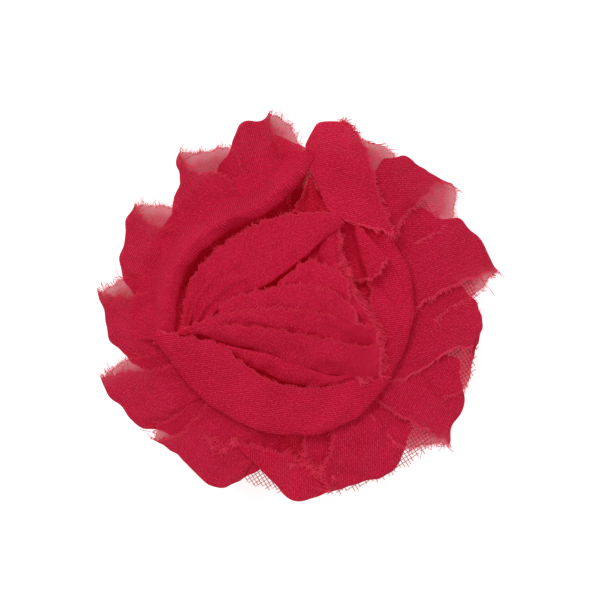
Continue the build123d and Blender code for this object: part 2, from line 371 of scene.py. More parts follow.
WEAVE_PITCH, TWILL_PITCH = 0.22, 0.35
SLUB_TURN, SLUB_SCALE = 0.54, (0.55, 3.4, 1.0)  # uneven yarns, drawn out along the twill
GLINT = (0.90, 0.10, 0.17, 1.0)  # yarn that catches the light
PAINTED_RED_GLOW = 0.085  # a faint red glow painted into the cloth everywhere, standing in for red light handed on between layers of sheer cloth; it shows most deep in the folds
PAINTED_YARN_GLOW = 0.12  # the same painted red glow, on the drawn threads
LIGHT_THROUGH = 0.24  # share of the cloth's light that comes through it from behind
LOOSE_REACH, BARE_REACH = 2.2, 0.4  # how far in from a raw edge the weave has opened, and is bare threads
BARE = 0.85  # how open the weave is at the raw edge itself


def chiffon_material(name, light, deep, loosened=0.0, passing=1.0):
    """Sheer woven cloth. loosened opens the weave near a raw edge, and passing dims the light through it."""
    n = Nodes(name)
    uv = n.add("UVMap", uv_map="weave").outputs[0]
    split = n.add("SeparateXYZ", {0: uv})
    u, v = split.outputs[0], split.outputs[1]
    place = n.object_place()
    drift = n.noise(uv, 0.5, 3.0, 0.6)
    u = n.plus(u, n.times(drift, 0.5))
    warp, weft = yarn_lines(n, u, WEAVE_PITCH), yarn_lines(n, v, WEAVE_PITCH)
    twill = yarn_lines(n, n.plus(n.times(u, 0.6), v), TWILL_PITCH)
    cloth_height = n.plus(n.math("MAXIMUM", warp, weft), n.times(twill, 0.9))
    blotch = n.noise(place, 150.0, 4.0, 0.65)
    speck = n.noise(uv, 3.6, 2.0, 0.8)
    patchy = n.noise(uv, 0.9, 2.0)
    drawn_out = {"Vector": uv, "Rotation": (0.0, 0.0, SLUB_TURN), "Scale": SLUB_SCALE}
    along_yarn = n.add("Mapping", drawn_out).outputs[0]
    slub = n.noise(along_yarn, 1.0, 2.0, 0.7)
    shade = n.ramp(blotch, 0.35, 0.65)
    tone = n.blend(shade, deep, light)
    ribs = n.times(twill, n.plus(n.times(patchy, 0.5), 0.27))
    flecks = n.plus(n.times(speck, 0.55), n.times(slub, 0.5))
    grainy = n.plus(ribs, flecks)
    grainy = n.ramp(grainy, 0.42, 1.1, 0.72, 1.26)
    tone = n.add("HueSaturation", {"Color": tone, "Value": grainy}).outputs[0]
    lit = n.times(speck, n.plus(n.times(twill, 0.45), 0.7))
    glint = n.ramp(lit, 0.52, 0.72, 0.0, 0.5)
    tone = n.blend(glint, tone, GLINT)
    bump = n.bump(cloth_height, 0.5, 0.00005)
    crinkle = n.noise(place, 900.0, 3.0)
    bump = n.bump(crinkle, 0.4, 0.0003, Normal=bump)
    soft = {"Specular_IOR_Level": 0.1, "Sheen_Weight": 0.03, "Sheen_Roughness": 0.5}
    # the emission is a painted red glow, which lifts the red of the cloth where it lies in shade
    red = {"Sheen_Tint": (1.0, 0.2, 0.35, 1.0), "Emission_Color": (1.0, 0.0, 0.01, 1.0)}
    surface = n.principled(tone, 0.78, **soft, **red, Emission_Strength=PAINTED_RED_GLOW, Normal=bump)
    passed = n.add("HueSaturation", {"Color": tone, "Value": passing}).outputs[0]
    through_light = n.add("BsdfTranslucent", {"Color": passed, "Normal": bump}).outputs[0]
    body = n.add("MixShader", {0: LIGHT_THROUGH, 1: surface, 2: through_light}).outputs[0]
    # sheer everywhere, more open towards a raw edge, and thinned to bare threads along it
    away = n.add("Attribute", attribute_name="raw_mm").outputs["Fac"]
    uneven = n.noise(uv, 1.6, 3.0)
    edge = n.plus(away, n.times(n.math("SUBTRACT", uneven, 0.5), 0.7))
    thin = n.ramp(edge, 0.0, BARE_REACH, 1.0, 0.0)
    gaps = n.math("SUBTRACT", 1.0, n.times(warp, weft))
    sheer = n.plus(0.02, n.times(gaps, 0.06))
    loose = n.ramp(edge, 0.0, LOOSE_REACH, loosened, 0.0)
    open_share = n.math("MAXIMUM", loose, n.times(thin, BARE))
    clear = n.plus(sheer, n.times(gaps, open_share), clamp=True)
    nothing = n.add("BsdfTransparent").outputs[0]
    return n.output(n.add("MixShader", {0: clear, 1: body, 2: nothing}).outputs[0])


def yarn_material(name, colour, painted_glow):
    n = Nodes(name)
    place = n.object_place()
    tint = n.noise(place, 700.0, 2.0)
    tone = n.blend(tint, [c * 0.75 for c in colour[:3]] + [1.0], colour)
    # a painted red glow in the thread's own surface, as on the cloth
    red = {"Emission_Color": (1.0, 0.02, 0.07, 1.0), "Emission_Strength": painted_glow}
    surface = n.principled(tone, 0.85, Specular_IOR_Level=0.08, **red)
    glow = n.add("BsdfTranslucent", {"Color": tone}).outputs[0]
    return n.output(n.add("MixShader", {0: 0.35, 1: surface, 2: glow}).outputs[0])


CLOTH_RED, CLOTH_SHADE = (0.565, 0.008, 0.052, 1.0), (0.495, 0.005, 0.037, 1.0)
CHIFFON = chiffon_material("chiffon", CLOTH_RED, CLOTH_SHADE)
PETAL_CHIFFON = chiffon_material("petal_chiffon", CLOTH_RED, CLOTH_SHADE, loosened=0.23, passing=0.3)
# painted shade: a darker, deeper red copy of the same chiffon, for the pieces that lie deep in the hollow and
# under the petals
SHADED_CHIFFON = chiffon_material("shaded_chiffon", (0.52, 0.004, 0.034, 1.0), (0.45, 0.002, 0.024, 1.0))
YARN_MATERIAL = yarn_material("drawn_thread", (0.88, 0.072, 0.155, 1.0), PAINTED_YARN_GLOW)


# ---------------------------------------- outer petals
# Each petal is one piece of strip folded over at the rim: the rim from where it comes into sight to its tip,
# then the raw edges of the upper and of the lower layer, from the tip inwards. All are (x, y).
PETALS = {
    1: {
        "rim": [(-10.9, 25.2), (-9.2, 28.8), (-5.4, 30.0), (-4.65, 31.1)],
        "upper": [(-4.3, 29.0), (-2.5, 23.5)],
        "lower": [(-1.5, 29.3), (0.4, 25.7)],
    },
    3: {
        "rim": [(12.9, 22.1), (13.9, 23.5), (15.8, 24.1), (18.7, 23.0), (22.5, 19.7)],
        "upper": [(19.2, 16.3), (16.8, 13.9), (15.3, 10.5)],
        "lower": [(24.7, 19.4), (24.9, 14.6), (17.2, 9.1)],
    },
    4: {
        "rim": [(24.0, 14.1), (25.9, 13.9), (28.3, 11.5), (30.2, 7.6), (31.9, 5.7)],
        "upper": [(27.0, 4.1), (23.2, 2.4), (17.0, -1.0)],
        "lower": [(27.8, 1.4), (24.7, -0.2), (18.2, -5.4)],
    },
    5: {
        "rim": [(27.8, 1.4), (28.6, 0.6), (29.6, -2.0), (29.0, -4.7), (28.0, -6.5)],
        "upper": [(24.5, -7.0), (20.0, -10.0), (15.0, -12.0)],
        "lower": [(27.8, -9.7), (26.5, -13.1), (20.0, -14.5)],
    },
    6: {
        "rim": [(26.5, -13.1), (26.7, -15.6), (25.7, -17.9), (24.5, -20.1), (24.1, -21.9)],
        "upper": [(19.0, -19.0), (14.0, -16.0)],
        "lower": [(20.5, -22.2), (17.2, -22.7), (13.0, -19.0)],
    },
    7: {
        "rim": [(17.4, -22.7), (16.3, -25.1), (13.9, -27.0), (10.0, -28.2), (5.2, -29.4)],
        "upper": [(4.0, -26.6), (5.5, -22.5), (5.0, -17.0)],
        "lower": [(3.0, -29.0), (1.5, -25.0), (1.0, -18.0)],
    },
    9: {
        "rim": [(-7.8, -27.0), (-9.2, -28.5), (-12.1, -29.0), (-15.0, -28.0), (-18.8, -24.1), (-22.7, -21.5)],
        "upper": [(-19.0, -20.5), (-15.5, -17.0)],
        "lower": [(-22.7, -20.0), (-19.5, -17.5)],
    },
    10: {
        "rim": [(-22.7, -20.0), (-24.6, -19.6), (-27.5, -16.9), (-30.4, -13.6), (-31.4, -11.4)],
        "upper": [(-27.5, -10.5), (-22.0, -10.0), (-19.0, -9.0)],
        "lower": [(-27.8, -8.7), (-22.0, -7.5)],
    },
    11: {
        "rim": [(-28.0, -7.8), (-29.9, -5.4), (-30.9, -1.5), (-31.6, 2.1)],
        "upper": [(-27.5, 1.5), (-23.0, 2.5), (-20.0, 2.5)],
        "lower": [(-27.8, 4.5), (-23.0, 5.0)],
    },
    12: {
        "rim": [(-27.8, 4.25), (-28.2, 7.6), (-27.3, 12.4), (-26.1, 16.3)],
        "upper": [(-23.5, 13.2), (-20.3, 12.4), (-16.4, 11.5)],
        "lower": [(-20.05, 15.8), (-15.0, 13.0)],
    },
    13: {
        "rim": [(-19.8, 15.6), (-19.3, 19.2), (-18.85, 24.5)],
        "upper": [(-16.9, 21.6), (-12.1, 21.1), (-9.0, 17.0)],
        "lower": [(-14.5, 24.8), (-11.1, 25.4), (-8.0, 20.0)],
    },
}
PETAL_ROOT = 12.5  # radius at which the petals are gathered
TUCK, TUCK_IN = 8.0, 0.91  # degrees that a petal runs on under the one before it, and how far in
START_TURN, END_TURN = TUCK + 5, -2  # degrees that the two corners of its gathered end are turned
LOW, HIGH = 0.3, 2.3  # the petal's middle above the net, at its hidden start and at its tip
ROOT_HIGH = HIGH * 0.9  # the same, at the gathered end of its raw edge
FOLD_HALF, FOLD_ROUND = 0.36, 0.7  # half the thickness of the folded petal, and where from its rim it has it
SWELL = 0.55  # how much the upper layer swells up
RIM_STEPS, UPPER_STEPS, LOWER_STEPS = 34, 44, 30  # grid lines along the rim and across each layer


def inward(point, turn):
    """Where a petal is gathered: straight in from a point, then turned by some degrees."""
    angle = math.atan2(point[1], point[0]) + math.radians(turn)
    return (PETAL_ROOT * math.cos(angle), PETAL_ROOT * math.sin(angle))


def hidden_start(point):
    """Where a petal's rim begins, under the petal before it and a little inside the outline."""
    angle = math.atan2(point[1], point[0]) + math.radians(TUCK)
    radius = math.hypot(*point) * TUCK_IN
    return (radius * math.cos(angle), radius * math.sin(angle))


def raised(points, heights):
    """Adds heights to flat points, spread evenly from the first value to the last."""
    z = np.interp(even(len(points)), even(len(heights)), heights)
    return np.column_stack([np.array(points, float), z])


def petal_layer(rim, raw_edge, side, rows):
    """One layer of a petal as a grid, from its rim inwards. side is 1 for the upper, -1 for the lower."""
    root = [*raw_edge, inward(raw_edge[-1], END_TURN)]
    start = [hidden_start(rim[0]), inward(rim[0], START_TURN)]
    share = even(RIM_STEPS)
    from_rim = even(rows) ** 1.5  # closer together at the fold
    near = through(raised([start[0], *rim], (LOW, HIGH)), share)
    right = through(raised([rim[-1], *root], (HIGH, ROOT_HIGH)), from_rim)
    left = through(raised(start, (LOW, LOW)), from_rim)
    far = through(raised([start[1], root[-1]], (LOW, ROOT_HIGH)), share)
    grid = patch(near, far, left, right)
    down = arc_lengths(grid, 0)
    rounded = np.sqrt(1 - (1 - np.clip(down / FOLD_ROUND, 0, 1)) ** 2)
    grid[..., 2] += NET_TOP + side * FOLD_HALF * rounded
    if side > 0:
        inwards = np.clip(down / down.max(), 0, 1)
        grid[..., 2] += SWELL * np.sin(math.pi * share[None]) * np.sin(math.pi * inwards) ** 0.7
    return grid


def outer_petal(number, shape):
    rng = np.random.default_rng(number)
    rim = shape["rim"]
    upper = petal_layer(rim, shape["upper"], 1, UPPER_STEPS)
    lower = petal_layer(rim, shape["lower"], -1, LOWER_STEPS)
    grid = np.concatenate([lower[:0:-1], upper])
    name = f"petal_{number:02d}"
    edge = arc_lengths(grid[:, -1:], 0)[:, 0]
    tip = edge[len(lower) - 1] / edge[-1]
    outwards = math.degrees(math.atan2(rim[0][1] + rim[-1][1], rim[0][0] + rim[-1][0]))
    options = {"grain": outwards + rng.uniform(-25, 25), "reach": 0.75, "wrinkle": (0.22, 4.0), "tip": tip}
    return cloth(name, grid, PETAL_CHIFFON, rng, raw=("right",), nodes=[f"outer_{name}"], **options)


for number, shape in PETALS.items():
    outer_petal(number, shape)


def strip(name, stations, material, seed, steps, raw=(), **options):
    """A long sheet through cross-sections, each a list of (x, y, height above the coil's base)."""
    rng = np.random.default_rng(seed)
    rows, columns = steps
    control = np.array(stations, float)
    control[..., 2] += COIL_Z
    lengthways = through(control, even(rows))
    grid = np.swapaxes(through(np.swapaxes(lengthways, 0, 1), even(columns)), 0, 1)
    return cloth(name, grid, material, rng, raw=raw, **options)


# ---------------------------------------- petals 2 and 8
# Petal 2 runs on inwards as a long tongue that lies over the end of the band.
TONGUE = [
    [(8.3, 29.4, -2.2), (7.1, 29.6, -2.0), (3.4, 29.45, -2.2),
     (2.3, 27.9, -2.5), (1.2, 25.8, -2.8), (2.4, 25.2, -3.0)],
    [(9.3, 28.0, -1.7), (7.6, 28.2, -1.3), (4.4, 27.6, -1.4),
     (2.9, 26.4, -1.6), (1.5, 24.7, -1.8), (3.2, 24.0, -2.4)],
    [(11.3, 24.4, -0.9), (8.8, 24.4, 0.0), (6.2, 23.6, 0.5),
     (4.1, 22.6, 1.1), (2.1, 21.6, 1.6), (4.6, 21.0, 0.8)],
    [(12.2, 20.8, -0.1), (9.8, 20.6, 0.9), (7.6, 19.8, 1.7),
     (5.4, 19.0, 2.5), (3.4, 18.2, 3.0), (6.4, 17.4, 2.0)],
    [(13.3, 16.6, 0.6), (11.0, 16.6, 1.9), (9.0, 16.0, 2.7),
     (6.9, 15.6, 3.4), (4.9, 15.2, 3.8), (8.2, 14.2, 2.8)],
    [(15.3, 11.5, 1.6), (13.2, 12.0, 2.4), (11.4, 12.5, 3.0),
     (9.4, 13.0, 3.6), (7.6, 13.6, 4.0), (10.6, 12.0, 3.0)],
]
tongue = {"raw": ("left", "far"), "nodes": ["outer_petal_02"], "grain": 20, "tip": 0.0}
strip("petal_02_upper", TONGUE, CHIFFON, 2, (70, 40), **tongue)
UNDER_TONGUE = [
    [(8.2, 29.4, -2.4), (3.6, 29.3, -2.6), (1.2, 25.7, -2.9)],
    [(10.5, 26.6, -2.3), (6.6, 26.0, -2.6), (2.0, 23.6, -3.0)],
    [(13.6, 25.7, -2.2), (9.0, 23.6, -2.5), (3.0, 21.0, -3.0)],
    [(15.5, 24.3, -2.2), (11.0, 20.5, -2.4), (4.0, 18.0, -2.8)],
    [(14.5, 17.0, -2.0), (10.0, 15.0, -2.2), (5.0, 13.0, -2.6)],
]
strip("petal_02_lower", UNDER_TONGUE, PETAL_CHIFFON, 22, (44, 30), raw=("left",), grain=60)

# Petal 8 is a flattened fold along the rim: its raw edge is on its inner side.
ROLLED_PETAL = [
    [(4.6, -18.0, -2.3), (5.3, -29.0, -2.7), (5.0, -29.6, -2.2), (4.9, -26.2, -1.3)],
    [(1.8, -17.5, -2.3), (2.6, -30.5, -2.8), (2.4, -30.8, -2.0), (1.8, -24.8, -0.6)],
    [(-1.2, -17.2, -2.3), (-1.0, -30.7, -2.8), (-1.1, -30.9, -1.9), (-1.6, -23.6, -0.3)],
    [(-4.2, -17.0, -2.3), (-3.6, -28.0, -2.7), (-3.8, -28.2, -1.7), (-5.0, -22.8, -0.2)],
    [(-7.0, -16.8, -2.3), (-7.0, -24.6, -2.5), (-7.2, -24.8, -1.5), (-7.8, -22.0, -0.3)],
    [(-9.2, -16.6, -2.3), (-9.6, -22.0, -2.4), (-9.8, -22.2, -1.6), (-9.8, -21.2, -0.8)],
]
rolled = {"raw": ("right", "far"), "nodes": ["outer_petal_08"], "grain": -60}
strip("petal_08", ROLLED_PETAL, CHIFFON, 8, (60, 40), **rolled)

# Tufts of drawn threads where raw edges meet: from, to, how many, and which way if they all point one way.
TUFTS = {
    "tufts_left": ((-15.4, -20.6, -0.7), (-11.2, -23.4, -0.6), 14, None),
    "tufts_hollow": ((-10.6, -20.6, -0.5), (-8.6, -22.6, -0.4), 6, None),
    "tufts_right": ((-0.6, -24.4, -0.2), (5.6, -27.2, -0.8), 18, None),
    "tufts_column": ((7.2, 8.6, 5.6), (8.5, 2.6, 5.9), 9, None),
    "tufts_foot": ((7.0, -12.0, 1.7), (13.6, -11.0, 1.5), 12, None),
    "tufts_top": ((7.0, 29.3, -1.9), (8.1, 29.1, -1.9), 4, math.radians(82)),
}


def tuft_thread(root, heading, rng):
    """One thread of a tuft: it leaves its root near a heading, curls, and arches up a little."""
    heading, curl, reach = heading + rng.normal(0, 0.5), rng.normal(0, 0.6), rng.uniform(0.35, 1.3)
    begin = root + rng.normal(0, 0.12, 3) * (1, 1, 0.3)
    steps = []
    for x in even(5):
        turn = heading + curl * x
        out = (math.cos(turn) * reach * x, math.sin(turn) * reach * x, 0.3 * math.sin(2.4 * x))
        steps.append(begin + out)
    return steps


def tufts(name, start, end, count, way, seed):
    """Small brushes of threads along a line, each spread from one place."""
    rng = np.random.default_rng(seed)
    start, end = np.array(start), np.array(end)
    scatter = 0.4 if way is None else 0.1
    threads = []
    for _ in range(count):
        root = start + (end - start) * rng.random() + rng.normal(0, scatter, 3) * (1, 1, 0.2) + (0, 0, COIL_Z)
        toward = rng.uniform(0, math.tau) if way is None else way
        threads += [tuft_thread(root, toward, rng) for _ in range(rng.integers(6, 13))]
    points, faces = tubes(threads, YARN)
    new_mesh(name, points, faces, YARN_MATERIAL, smooth=False)


for seed, (name, (start, end, count, way)) in enumerate(TUFTS.items(), start=35):
    tufts(name, start, end, count, way, seed)


# ---------------------------------------- coiled middle
# The raised roll on the left stands outside a deep line, from its lower end clockwise: (x, y, crest height).
ROLL_LINE = [
    (-19.4, -5.4, 1.8), (-19.3, -1.5, 3.2), (-18.4, 3.2, 4.3),
    (-16.2, 7.8, 4.8), (-10.4, 12.2, 5.1), (-3.9, 15.4, 5.0),
    (-0.8, 18.2, 4.2), (1.4, 21.3, 2.4), (2.9, 24.2, 0.2),
]
# Across it: distance out from the line, height, and share of the crest's height. It runs out over the petals.
ROLL_SECTION = [
    (7.2, -1.9, 0.0), (4.9, -1.0, 0.12), (3.0, 0.0, 0.55),
    (1.5, 0.0, 1.0), (0.4, 0.0, 0.82), (-0.1, 0.1, 0.0),
]


def roll_stations():
    line = np.array(ROLL_LINE)
    ahead = np.gradient(line[:, :2], axis=0)
    ahead /= np.linalg.norm(ahead, axis=1, keepdims=True)
    outwards = np.column_stack([-ahead[:, 1], ahead[:, 0]])
    return [
        [(*(point[:2] + out * reach), height + point[2] * share) for reach, height, share in ROLL_SECTION]
        for point, out in zip(line, outwards)
    ]


strip("coil_roll", roll_stations(), CHIFFON, 30, (130, 50), nodes=["coil_band"], wrinkle=(0.2, 4.5))

# Sections of the flat band along the bottom and the right: outer fold, middle, raw inner edge.
BAND = [
    [(-22.8, -4.6, 1.8), (-22.5, -4.1, 2.6), (-22.2, -3.7, 2.6)],
    [(-21.6, -7.0, 0.8), (-19.8, -6.0, 2.4), (-18.0, -4.7, 2.8)],
    [(-18.6, -11.0, 0.5), (-15.6, -8.6, 2.0), (-13.2, -5.7, 2.7)],
    [(-14.0, -15.5, 0.4), (-10.9, -11.5, 1.7), (-8.6, -9.0, 2.2)],
    [(-7.3, -19.3, 0.4), (-5.3, -15.0, 1.5), (-4.2, -11.8, 1.9)],
    [(0.4, -20.5, 0.4), (0.8, -16.4, 1.4), (1.0, -12.9, 1.6)],
    [(7.6, -18.8, 0.4), (6.6, -15.4, 1.3), (6.4, -12.4, 1.3)],
    [(13.9, -12.8, 0.4), (12.0, -11.2, 1.2), (10.4, -9.6, 1.0)],
    [(17.2, -6.4, 0.4), (14.9, -5.8, 1.2), (11.5, -4.4, 0.9)],
    [(18.4, 1.6, 0.4), (15.6, 1.4, 1.2), (11.6, 1.4, 0.8)],
    [(17.2, 7.2, 0.4), (14.6, 6.2, 1.1), (11.2, 4.6, 0.8)],
    [(14.6, 11.6, 0.3), (12.6, 9.8, 0.9), (10.0, 8.0, 0.6)],
    [(11.5, 15.5, 0.1), (10.0, 13.5, 0.5), (8.0, 11.5, 0.3)],
]


def folded_section(outer, middle, raw_edge):
    """The band's section with its lower layer: back under the fold, round it, and over to the raw edge."""
    outer, middle, raw_edge = (np.array(p) for p in (outer, middle, raw_edge))

    def lower(share, drop):
        return [*(outer[:2] * (1 - share) + middle[:2] * share), outer[2] - drop]

    return [lower(0.9, 0.45), lower(0.1, 0.35), outer, lower(0.1, -0.35), middle, raw_edge]


flat_band = {"raw": ("right",), "reach": 0.5, "wrinkle": (0.12, 4.5), "grain": 25}
strip("coil_band_flat", [folded_section(*section) for section in BAND], CHIFFON, 31, (170, 44), **flat_band)

# Inner folds: (x, y, height) along the edge nearer the band and along the other, both from left to right,
# then the raw sides.
FOLDS = {
    "inner_fold_1": (
        [(-12.8, -6.4, 1.2), (-8.6, -8.8, 1.0), (-5.0, -10.7, 0.9),
         (0.0, -12.4, 0.8), (5.0, -12.9, 0.8), (8.8, -11.7, 1.0)],
        [(-12.6, -5.8, 2.0), (-8.8, -6.7, 2.1), (-4.0, -7.7, 2.2),
         (1.0, -9.6, 2.2), (6.0, -11.0, 2.0), (9.6, -10.6, 1.6)],
        (),
    ),
    "inner_fold_2": (
        [(-19.0, -4.8, 0.8), (-15.4, -4.4, 2.4), (-11.2, -5.8, 1.8), (-6.3, -7.3, 1.6),
         (0.4, -9.8, 1.6), (7.0, -11.2, 1.6), (13.2, -11.2, 1.6)],
        [(-19.2, -4.4, 1.0), (-15.4, -3.3, 3.4), (-11.2, -2.9, 4.6), (-2.5, -3.8, 5.5),
         (5.2, -5.3, 5.5), (10.0, -6.2, 5.0), (13.2, -6.2, 4.4)],
        ("far", "right"),
    ),
    "inner_fold_3": (
        [(-18.8, -4.4, 0.8), (-14.0, -4.0, 2.6), (-2.5, -4.9, 3.4), (5.2, -6.4, 3.4), (12.6, -7.2, 2.8)],
        [(-18.9, -4.0, 1.2), (-15.6, -2.5, 3.6), (-12.6, -1.4, 4.9), (-6.3, -0.4, 6.0),
         (2.3, -0.8, 6.2), (8.6, -2.3, 5.9), (12.8, -3.9, 4.9)],
        ("far", "right"),
    ),
    "inner_fold_4": (
        [(-12.6, -2.4, 4.2), (-6.3, -2.2, 5.0), (2.3, -2.6, 5.2), (9.6, -4.2, 4.9)],
        [(-12.3, -0.4, 4.4), (-10.7, 1.1, 5.0), (-6.3, 2.4, 6.0),
         (-0.1, 3.4, 6.7), (5.2, 2.5, 6.7), (9.0, -0.4, 6.0)],
        ("far", "right"),
    ),
    "inner_fold_5": (
        [(-3.5, 1.8, 5.2), (2.0, 1.4, 5.6), (8.2, 0.4, 5.4)],
        [(-3.0, 3.4, 5.2), (-1.0, 5.3, 5.6), (1.4, 7.1, 5.8), (4.7, 6.3, 6.3), (8.0, 4.3, 6.2)],
        ("far", "right"),
    ),
    "inner_fold_6": (
        [(-16.6, -5.4, 0.6), (-14.2, -2.6, 2.8), (-12.2, -0.4, 3.4), (-9.2, 1.6, 3.9),
         (-4.4, 3.6, 4.4), (-0.1, 6.8, 4.7), (4.8, 11.1, 4.6), (7.6, 13.0, 4.4)],
        [(-18.4, -5.6, 0.5), (-18.2, -2.4, 1.6), (-17.8, 1.0, 2.4), (-15.5, 6.0, 3.0),
         (-10.9, 10.4, 3.5), (-5.6, 13.3, 3.9), (0.2, 14.7, 4.1), (6.0, 14.7, 4.0)],
        ("far",),
    ),
}
FLOOR = 0.35  # height above the coil's base at which the hidden part of a fold lies
UNDERLAP = 6.5  # how far a fold runs back under itself


def tucked(grid):
    """Rows added before the near side: under the fold, then up to its near edge, where it is bent over."""
    edge, across = grid[0], grid[len(grid) // 2] - grid[0]
    across[:, 2] = 0
    across = unit(across)
    foot = edge.copy()
    foot[:, 2] = COIL_Z + FLOOR
    under = [foot + across * UNDERLAP * share for share in np.linspace(1, 0.08, 9)]
    wall = [foot * (1 - share) + edge * share for share in (0.12, 0.4, 0.7, 0.9)]
    return np.concatenate([np.array(under), np.array(wall), grid])


# Creases that run in from a fold's left end: how many, and how high.
CREASES = {"inner_fold_6": (3.0, 0.55), "inner_fold_5": (1.5, 0.2)}
DOME = 0.45  # how much a fold swells up between its two edges
FOLD_SEED = 41
FOLD_GRAIN, GRAIN_STEP = 62, 4  # degrees, for the first fold and from one to the next


def inner_fold(name, near, far, raw, seed):
    rng = np.random.default_rng(seed)
    columns, rows = 90, 26
    across, side = even(columns), even(rows)
    near, far = through(near, across), through(far, across)
    left, right = through([near[0], far[0]], side), through([near[-1], far[-1]], side)
    grid = patch(near, far, left, right)
    arch = np.sin(math.pi * side)[:, None]
    grid[..., 2] += COIL_Z + DOME * arch
    if name in CREASES:
        count, height = CREASES[name]
        waves = np.sin(math.tau * count * (side[:, None] + 0.25 * across[None]))
        grid[..., 2] += height * waves * (1 - across[None]) ** 1.3 * arch
    grain = FOLD_GRAIN + GRAIN_STEP * (seed - FOLD_SEED)
    options = {"raw": raw, "nodes": [name], "reach": 0.5, "wrinkle": (0.16, 3.4), "grain": grain}
    return cloth(f"{name}_cloth", tucked(grid), CHIFFON, rng, **options)


for seed, (name, (near, far, raw)) in enumerate(FOLDS.items(), start=FOLD_SEED):
    inner_fold(name, near, far, raw, seed)

# The column of raw edges on the right: the ends of layers that run in under the inner folds.
# (x, y, height of the top layer)
COLUMN = [
    (6.2, 14.6, 3.0), (6.6, 11.2, 4.6), (6.9, 7.6, 5.4),
    (8.0, 4.0, 5.7), (9.8, 0.6, 5.5), (12.2, -3.2, 4.9),
    (13.0, -6.6, 3.9), (13.1, -9.6, 2.4), (13.2, -11.4, 1.2),
]
LAYERS = 4
LAYER_SHIFT, LAYER_DROP = 0.4, 0.2  # how far each layer stands out past the one above it, and how much lower


def stack_stations(layer):
    """Sections of one layer of the column, from its hidden side to its raw edge."""
    deep = FLOOR + 0.15 * (LAYERS - layer)
    stations = []
    for x, y, high in COLUMN:
        top = high * (1 - LAYER_DROP * layer)
        edge_x = x + LAYER_SHIFT * layer * min(1.0, max(0.1, (9.0 - y) / 9.0))
        inner_y = y * 0.55 - 0.6  # the hidden part draws in under the folds
        hidden = [(x - 11.5, inner_y, deep), (x - 7.0, (inner_y + y) / 2, deep + 0.1)]
        rising = [(x - 3.4, y * 0.93, max(deep, top - 1.6)), (x - 1.4, y, top)]
        stations.append([*hidden, *rising, (edge_x, y - 0.2, max(deep, top - 0.5))])
    return stations


for layer in range(LAYERS):
    options = {"raw": ("right",), "nodes": ["frayed_stack"] if layer == 0 else []}
    options |= {"reach": 0.75, "wrinkle": (0.24, 2.0), "grain": 70}
    strip(f"frayed_stack_{layer + 1}", stack_stations(layer), CHIFFON, 60 + layer, (100, 32), **options)

# A facet of cloth stands at the top of the hollow, its raw left side towards the roll.
FACET = [
    [(-7.0, 5.0, 0.8), (0.0, 4.0, 0.8), (7.0, 5.0, 0.8)],
    [(-4.0, 11.6, 1.8), (1.5, 11.2, 2.0), (6.6, 12.0, 2.2)],
    [(-0.9, 14.8, 3.2), (2.2, 14.6, 2.0), (5.4, 15.0, 3.2)],
    [(1.0, 18.0, 3.5), (2.0, 18.2, 2.3), (3.1, 18.0, 3.3)],
    [(1.8, 20.2, 2.9), (2.1, 20.4, 2.3), (2.5, 20.2, 2.8)],
]
facet = {"raw": ("left",), "reach": 0.45, "wrinkle": (0.08, 3.0), "grain": 15}
# the facet gets the darker chiffon, as painted shade in the hollow
strip("facet_sheet", FACET, SHADED_CHIFFON, 75, (60, 34), **facet)

# The corner tab comes out from under the column: hidden root first, then the part that shows, to its raw end.
CORNER = [
    [(1.8, 13.6, 0.8), (2.2, 9.8, 0.8), (3.0, 5.8, 0.8), (4.0, 2.0, 0.8)],
    [(6.4, 13.2, 1.0), (6.6, 10.2, 0.9), (7.4, 6.8, 0.9), (8.4, 3.8, 0.9)],
    [(8.7, 13.0, 2.2), (8.9, 10.2, 1.1), (9.7, 6.8, 1.0), (10.5, 4.2, 1.0)],
    [(9.3, 13.0, 3.9), (9.6, 10.3, 4.2), (10.5, 6.6, 4.0), (11.0, 4.2, 3.4)],
    [(11.6, 10.7, 4.0), (11.7, 8.8, 4.4), (11.6, 6.4, 4.2), (11.5, 4.2, 3.5)],
    [(14.2, 7.6, 3.2), (13.6, 6.6, 3.6), (12.9, 5.4, 3.5), (12.0, 4.1, 3.1)],
]
corner = {"raw": ("far", "right"), "nodes": ["corner_tab"], "reach": 0.45, "wrinkle": (0.1, 3.0), "grain": 50}
strip("corner_tab_sheet", CORNER, CHIFFON, 70, (44, 30), **corner)


# ---------------------------------------- gathered base
RING_STEPS = 220


def ring_sheet(name, profile, ruffles, seed, **options):
    """A sheet all round the flower. profile is (radius, height above the net, ruffle depth), inside first."""
    rng = np.random.default_rng(seed)
    turn = np.linspace(0, math.tau, RING_STEPS)
    phases = rng.uniform(0, 7, (3, 1))
    ruffle = sum(np.sin(k * turn[None] * ruffles + phase) / k for k, phase in zip((1, 2, 3), phases))
    ruffle = ruffle * (0.6 + 0.4 * np.sin(5 * turn + phases[0]))
    section = through(profile, even(26))[:, None]
    radius = section[..., 0] + 0.35 * section[..., 2] * np.cos(turn * (ruffles // 2) + 1)
    height = NET_TOP + section[..., 1] + section[..., 2] * ruffle
    grid = np.stack([radius * np.cos(turn), radius * np.sin(turn), height], -1)
    # both ring sheets get the darker chiffon, as painted shade under the flower
    return cloth(name, grid, SHADED_CHIFFON, rng, held="gathered", **options)


CORE_PROFILE = [(0.5, 3.6, 0.05), (9.0, 3.5, 0.3), (11.5, 2.9, 0.5), (13.0, 0.9, 0.3), (13.5, 0.3, 0.05)]
BASE_PROFILE = [(11.0, 0.5, 0.1), (17.0, 0.5, 0.15), (25.0, 0.25, 0.1)]
ring_sheet("gathered_core_sheet", CORE_PROFILE, 17, 80, nodes=["gathered_core"], wrinkle=(0.15, 3.0))
ring_sheet("gathered_base_sheet", BASE_PROFILE, 19, 81)


